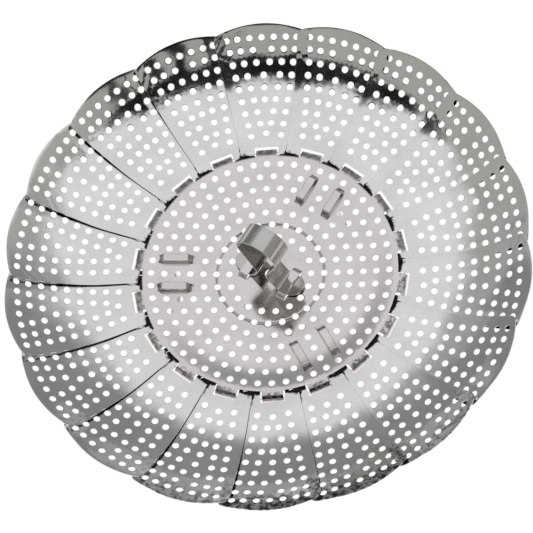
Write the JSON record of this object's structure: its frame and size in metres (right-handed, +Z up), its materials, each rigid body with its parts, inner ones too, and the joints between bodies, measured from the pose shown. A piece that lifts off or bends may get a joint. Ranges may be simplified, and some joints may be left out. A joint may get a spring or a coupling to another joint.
{
  "type": "folding steamer basket",
  "caption": "Folding stainless steamer basket: dished perforated plate, ring of overlapping hinged petals, folding legs and a looped strip handle, for steaming food in a pan.",
  "frame": {"origin": "on the surface it stands on, under the middle of the plate", "axes": "+Z up, along the middle of the plate and handle; +X and +Y across, with one leg's line at 42.6 degrees from +X and the first petal's line at 16.1 degrees"},
  "size_m": [0.2354, 0.2354, 0.0715],
  "materials": {
    "plate_steel": "polished stainless sheet, slightly hazy",
    "petal_steel": "polished stainless sheet, slightly hazy",
    "leg_steel": "bright stainless strip",
    "handle_steel": "bright stainless strip"
  },
  "bodies": {
    "basket": {"base_plate": "plate_steel", "lifting_handle": "handle_steel"},
    "petal_01": {"petal_01": "petal_steel"},
    "petal_02": {"petal_02": "petal_steel"},
    "petal_03": {"petal_03": "petal_steel"},
    "petal_04": {"petal_04": "petal_steel"},
    "petal_05": {"petal_05": "petal_steel"},
    "petal_06": {"petal_06": "petal_steel"},
    "petal_07": {"petal_07": "petal_steel"},
    "petal_08": {"petal_08": "petal_steel"},
    "petal_09": {"petal_09": "petal_steel"},
    "petal_10": {"petal_10": "petal_steel"},
    "petal_11": {"petal_11": "petal_steel"},
    "petal_12": {"petal_12": "petal_steel"},
    "petal_13": {"petal_13": "petal_steel"},
    "petal_14": {"petal_14": "petal_steel"},
    "petal_15": {"petal_15": "petal_steel"},
    "petal_16": {"petal_16": "petal_steel"},
    "petal_17": {"petal_17": "petal_steel"},
    "petal_18": {"petal_18": "petal_steel"},
    "leg_1": {"leg_1": "leg_steel"},
    "leg_2": {"leg_2": "leg_steel"},
    "leg_3": {"leg_3": "leg_steel"}
  },
  "joints": [
    {"name": "petal_01_fold", "type": "hinge", "parent": "basket", "child": "petal_01", "pos_m": [0.05813, 0.01678, 0.0329], "axis": [0.4321, -0.9018, 0], "range_deg": [0, 70]},
    {"name": "petal_02_fold", "type": "hinge", "parent": "basket", "child": "petal_02", "pos_m": [0.04888, 0.03565, 0.0329], "axis": [0.7145, -0.6997, 0], "range_deg": [0, 70]},
    {"name": "petal_03_fold", "type": "hinge", "parent": "basket", "child": "petal_03", "pos_m": [0.03374, 0.05022, 0.0329], "axis": [0.9107, -0.4131, 0], "range_deg": [0, 70]},
    {"name": "petal_04_fold", "type": "hinge", "parent": "basket", "child": "petal_04", "pos_m": [0.01453, 0.05873, 0.0329], "axis": [0.9971, -0.0767, 0], "range_deg": [0, 70]},
    {"name": "petal_05_fold", "type": "hinge", "parent": "basket", "child": "petal_05", "pos_m": [-0.00643, 0.06016, 0.0329], "axis": [0.9632, 0.2689, 0], "range_deg": [0, 70]},
    {"name": "petal_06_fold", "type": "hinge", "parent": "basket", "child": "petal_06", "pos_m": [-0.02662, 0.05433, 0.0329], "axis": [0.8131, 0.5821, 0], "range_deg": [0, 70]},
    {"name": "petal_07_fold", "type": "hinge", "parent": "basket", "child": "petal_07", "pos_m": [-0.04359, 0.04195, 0.0329], "axis": [0.565, 0.8251, 0], "range_deg": [0, 70]},
    {"name": "petal_08_fold", "type": "hinge", "parent": "basket", "child": "petal_08", "pos_m": [-0.05531, 0.02451, 0.0329], "axis": [0.2487, 0.9686, 0], "range_deg": [0, 70]},
    {"name": "petal_09_fold", "type": "hinge", "parent": "basket", "child": "petal_09", "pos_m": [-0.06036, 0.00411, 0.0329], "axis": [-0.0976, 0.9952, 0], "range_deg": [0, 70]},
    {"name": "petal_10_fold", "type": "hinge", "parent": "basket", "child": "petal_10", "pos_m": [-0.05813, -0.01678, 0.0329], "axis": [-0.4321, 0.9018, 0], "range_deg": [0, 70]},
    {"name": "petal_11_fold", "type": "hinge", "parent": "basket", "child": "petal_11", "pos_m": [-0.04888, -0.03565, 0.0329], "axis": [-0.7145, 0.6997, 0], "range_deg": [0, 70]},
    {"name": "petal_12_fold", "type": "hinge", "parent": "basket", "child": "petal_12", "pos_m": [-0.03374, -0.05022, 0.0329], "axis": [-0.9107, 0.4131, 0], "range_deg": [0, 70]},
    {"name": "petal_13_fold", "type": "hinge", "parent": "basket", "child": "petal_13", "pos_m": [-0.01453, -0.05873, 0.0329], "axis": [-0.9971, 0.0767, 0], "range_deg": [0, 70]},
    {"name": "petal_14_fold", "type": "hinge", "parent": "basket", "child": "petal_14", "pos_m": [0.00643, -0.06016, 0.0329], "axis": [-0.9632, -0.2689, 0], "range_deg": [0, 70]},
    {"name": "petal_15_fold", "type": "hinge", "parent": "basket", "child": "petal_15", "pos_m": [0.02662, -0.05433, 0.0329], "axis": [-0.8131, -0.5821, 0], "range_deg": [0, 70]},
    {"name": "petal_16_fold", "type": "hinge", "parent": "basket", "child": "petal_16", "pos_m": [0.04359, -0.04195, 0.0329], "axis": [-0.565, -0.8251, 0], "range_deg": [0, 70]},
    {"name": "petal_17_fold", "type": "hinge", "parent": "basket", "child": "petal_17", "pos_m": [0.05531, -0.02451, 0.0329], "axis": [-0.2487, -0.9686, 0], "range_deg": [0, 70]},
    {"name": "petal_18_fold", "type": "hinge", "parent": "basket", "child": "petal_18", "pos_m": [0.06036, -0.00411, 0.0329], "axis": [0.0976, -0.9952, 0], "range_deg": [0, 70]},
    {"name": "leg_1_fold", "type": "hinge", "parent": "basket", "child": "leg_1", "pos_m": [0.03165, 0.02911, 0.035], "axis": [-0.6769, 0.7361, 0], "range_deg": [0, 85]},
    {"name": "leg_2_fold", "type": "hinge", "parent": "basket", "child": "leg_2", "pos_m": [-0.04103, 0.01286, 0.035], "axis": [-0.299, -0.9542, 0], "range_deg": [0, 85]},
    {"name": "leg_3_fold", "type": "hinge", "parent": "basket", "child": "leg_3", "pos_m": [0.00938, -0.04196, 0.035], "axis": [0.9759, 0.2181, 0], "range_deg": [0, 85]}
  ],
  "couplings": [
    {"joint": "petal_02_fold", "follows": "petal_01_fold", "ratio": 1},
    {"joint": "petal_03_fold", "follows": "petal_01_fold", "ratio": 1},
    {"joint": "petal_04_fold", "follows": "petal_01_fold", "ratio": 1},
    {"joint": "petal_05_fold", "follows": "petal_01_fold", "ratio": 1},
    {"joint": "petal_06_fold", "follows": "petal_01_fold", "ratio": 1},
    {"joint": "petal_07_fold", "follows": "petal_01_fold", "ratio": 1},
    {"joint": "petal_08_fold", "follows": "petal_01_fold", "ratio": 1},
    {"joint": "petal_09_fold", "follows": "petal_01_fold", "ratio": 1},
    {"joint": "petal_10_fold", "follows": "petal_01_fold", "ratio": 1},
    {"joint": "petal_11_fold", "follows": "petal_01_fold", "ratio": 1},
    {"joint": "petal_12_fold", "follows": "petal_01_fold", "ratio": 1},
    {"joint": "petal_13_fold", "follows": "petal_01_fold", "ratio": 1},
    {"joint": "petal_14_fold", "follows": "petal_01_fold", "ratio": 1},
    {"joint": "petal_15_fold", "follows": "petal_01_fold", "ratio": 1},
    {"joint": "petal_16_fold", "follows": "petal_01_fold", "ratio": 1},
    {"joint": "petal_17_fold", "follows": "petal_01_fold", "ratio": 1},
    {"joint": "petal_18_fold", "follows": "petal_01_fold", "ratio": 1}
  ]
}
